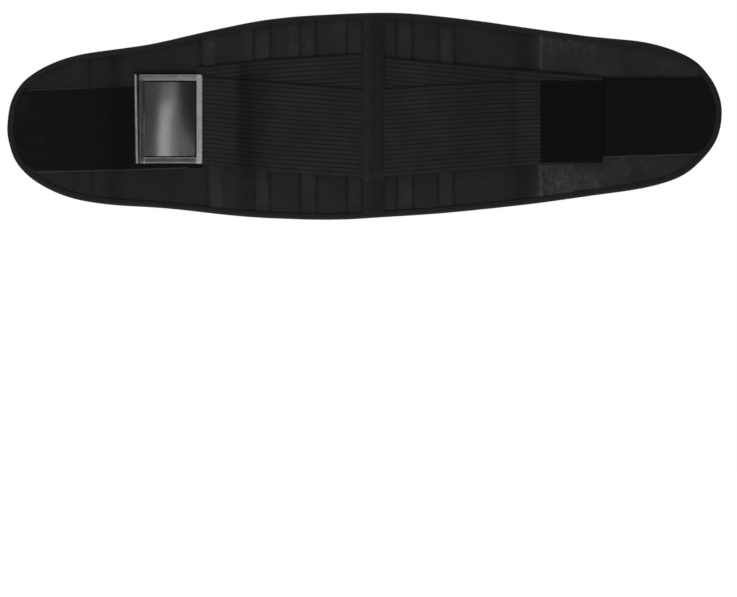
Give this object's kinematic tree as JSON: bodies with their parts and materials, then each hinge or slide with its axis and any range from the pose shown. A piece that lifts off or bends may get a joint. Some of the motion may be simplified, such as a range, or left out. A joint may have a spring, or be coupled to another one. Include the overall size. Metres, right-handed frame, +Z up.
{
  "type": "lumbar support belt",
  "caption": "Wrap-around lumbar support belt: tapered foam-rubber panel with steel stays, crossing elastic tension straps with grip tabs, and a hook-and-loop closure at the tips.",
  "frame": {"origin": "centre of the back panel on the inner face of the lining, where it rests on the wearer's lower back", "axes": "+X along the belt, to the right as seen from outside; +Y through the belt towards the wearer; +Z up the wearer's back. The belt is stored opened out flat."},
  "size_m": [0.8613, 0.0161, 0.2497],
  "materials": {
    "velour_shell": "black short-pile velour bonded to foam rubber",
    "lining": "matt black knitted nylon",
    "edge_binding": "black woven tape, folded and stitched",
    "stay_steel": "flat spring steel",
    "welt": "gathered black nylon over padding",
    "cover_strip": "black velour strip",
    "elastic_web": "black ribbed elastic webbing",
    "label_face": "glossy black film, blank",
    "label_frame": "glossy black coated border",
    "hook_tape": "black moulded hook tape",
    "loop_velvet": "deep black brushed loop",
    "tab_backing": "black woven backing",
    "size_tag": "white woven satin, blank"
  },
  "bodies": {
    "back_panel": {"laminate_back_panel": "velour_shell", "lining_back_panel": "lining", "binding_back_panel_top": "edge_binding", "binding_back_panel_bottom": "edge_binding", "stay_2": "stay_steel", "stay_3": "stay_steel", "stay_4": "stay_steel", "centre_cover": "cover_strip"},
    "left_side": {"laminate_left_side": "velour_shell", "lining_left_side": "lining", "binding_left_side_top": "edge_binding", "binding_left_side_bottom": "edge_binding", "stay_1": "stay_steel"},
    "left_wing": {"laminate_left_wing": "velour_shell", "lining_left_wing": "lining", "binding_left_wing_top": "edge_binding", "binding_left_wing_bottom": "edge_binding", "left_welt": "welt", "left_loop_panel_wing": "loop_velvet"},
    "left_tip": {"laminate_left_tip": "velour_shell", "lining_left_tip": "lining", "binding_left_tip_end": "edge_binding", "left_loop_panel_tip": "loop_velvet", "hook_panel": "hook_tape", "size_tag": "size_tag"},
    "right_side": {"laminate_right_side": "velour_shell", "lining_right_side": "lining", "binding_right_side_top": "edge_binding", "binding_right_side_bottom": "edge_binding", "stay_5": "stay_steel", "right_welt": "welt"},
    "right_wing": {"laminate_right_wing": "velour_shell", "lining_right_wing": "lining", "binding_right_wing_top": "edge_binding", "binding_right_wing_bottom": "edge_binding", "right_loop_panel_wing": "loop_velvet"},
    "right_tip": {"laminate_right_tip": "velour_shell", "lining_right_tip": "lining", "binding_right_tip_end": "edge_binding", "right_loop_panel_tip": "loop_velvet"},
    "left_strap_1": {"left_upper_web_1": "elastic_web", "left_lower_web_1": "elastic_web"},
    "left_strap_2": {"left_upper_web_2": "elastic_web", "left_lower_web_2": "elastic_web"},
    "left_strap_3": {"left_upper_web_3": "elastic_web", "left_lower_web_3": "elastic_web"},
    "right_strap_1": {"right_upper_web_1": "elastic_web", "right_lower_web_1": "elastic_web"},
    "right_strap_2": {"right_upper_web_2": "elastic_web", "right_lower_web_2": "elastic_web"},
    "right_strap_3": {"right_upper_web_3": "elastic_web", "right_lower_web_3": "elastic_web"},
    "left_tab": {"left_tab_backing": "tab_backing", "left_tab_hook_pad": "hook_tape", "left_tab_label_frame": "label_frame", "left_tab_label_plate": "label_face"},
    "right_tab": {"right_tab_backing": "tab_backing", "right_tab_hook_pad": "hook_tape", "right_tab_loop_pad": "loop_velvet"}
  },
  "joints": [
    {"name": "wrap_left", "type": "hinge", "parent": "back_panel", "child": "left_side", "pos_m": [-0.096, 0.0012, 0], "axis": [0, 0, -1], "range_deg": [0, 42], "stiffness_Nm_per_rad": 0.05},
    {"name": "left_wing_bend", "type": "hinge", "parent": "left_side", "child": "left_wing", "pos_m": [-0.188, 0.0012, 0], "axis": [0, 0, -1], "range_deg": [0, 76.5]},
    {"name": "left_tip_bend", "type": "hinge", "parent": "left_wing", "child": "left_tip", "pos_m": [-0.31, 0.0012, 0], "axis": [0, 0, -1], "range_deg": [0, 58.5]},
    {"name": "left_strap_peel", "type": "hinge", "parent": "back_panel", "child": "left_strap_1", "pos_m": [-0.0039, -0.0099, 0], "axis": [0, 0, 1], "range_deg": [0, 80], "stiffness_Nm_per_rad": 0.01},
    {"name": "left_strap_bend", "type": "hinge", "parent": "left_strap_1", "child": "left_strap_2", "pos_m": [-0.096, 0.0012, 0], "axis": [0, 0, -1], "range_deg": [0, 42.5]},
    {"name": "left_strap_stretch", "type": "slide", "parent": "left_strap_2", "child": "left_strap_3", "axis": [-1, 0, 0], "range_m": [0, 0.05], "stiffness_N_per_m": 300},
    {"name": "left_tab_bend", "type": "hinge", "parent": "left_strap_3", "child": "left_tab", "pos_m": [-0.188, 0.0012, 0], "axis": [0, 0, -1], "range_deg": [0, 76.5]},
    {"name": "wrap_right", "type": "hinge", "parent": "back_panel", "child": "right_side", "pos_m": [0.073, 0.0012, 0], "axis": [0, 0, 1], "range_deg": [0, 44], "stiffness_Nm_per_rad": 0.05},
    {"name": "right_wing_bend", "type": "hinge", "parent": "right_side", "child": "right_wing", "pos_m": [0.198, 0.0012, 0], "axis": [0, 0, 1], "range_deg": [0, 96.5]},
    {"name": "right_tip_bend", "type": "hinge", "parent": "right_wing", "child": "right_tip", "pos_m": [0.315, 0.0012, 0], "axis": [0, 0, 1], "range_deg": [0, 42.5]},
    {"name": "right_strap_peel", "type": "hinge", "parent": "back_panel", "child": "right_strap_1", "pos_m": [0.0232, -0.0099, 0], "axis": [0, 0, -1], "range_deg": [0, 80], "stiffness_Nm_per_rad": 0.01},
    {"name": "right_strap_bend", "type": "hinge", "parent": "right_strap_1", "child": "right_strap_2", "pos_m": [0.073, 0.0012, 0], "axis": [0, 0, 1], "range_deg": [0, 44.5]},
    {"name": "right_strap_stretch", "type": "slide", "parent": "right_strap_2", "child": "right_strap_3", "axis": [1, 0, 0], "range_m": [0, 0.05], "stiffness_N_per_m": 300},
    {"name": "right_tab_bend", "type": "hinge", "parent": "right_strap_3", "child": "right_tab", "pos_m": [0.198, 0.0012, 0], "axis": [0, 0, 1], "range_deg": [0, 96.5]}
  ],
  "couplings": [
    {"joint": "left_wing_bend", "follows": "wrap_left", "ratio": 1.8095},
    {"joint": "left_tip_bend", "follows": "wrap_left", "ratio": 1.381},
    {"joint": "left_strap_bend", "follows": "wrap_left", "ratio": 1},
    {"joint": "left_tab_bend", "follows": "wrap_left", "ratio": 1.8095},
    {"joint": "right_wing_bend", "follows": "wrap_right", "ratio": 2.1818},
    {"joint": "right_tip_bend", "follows": "wrap_right", "ratio": 0.95454},
    {"joint": "right_strap_bend", "follows": "wrap_right", "ratio": 1},
    {"joint": "right_tab_bend", "follows": "wrap_right", "ratio": 2.1818}
  ]
}
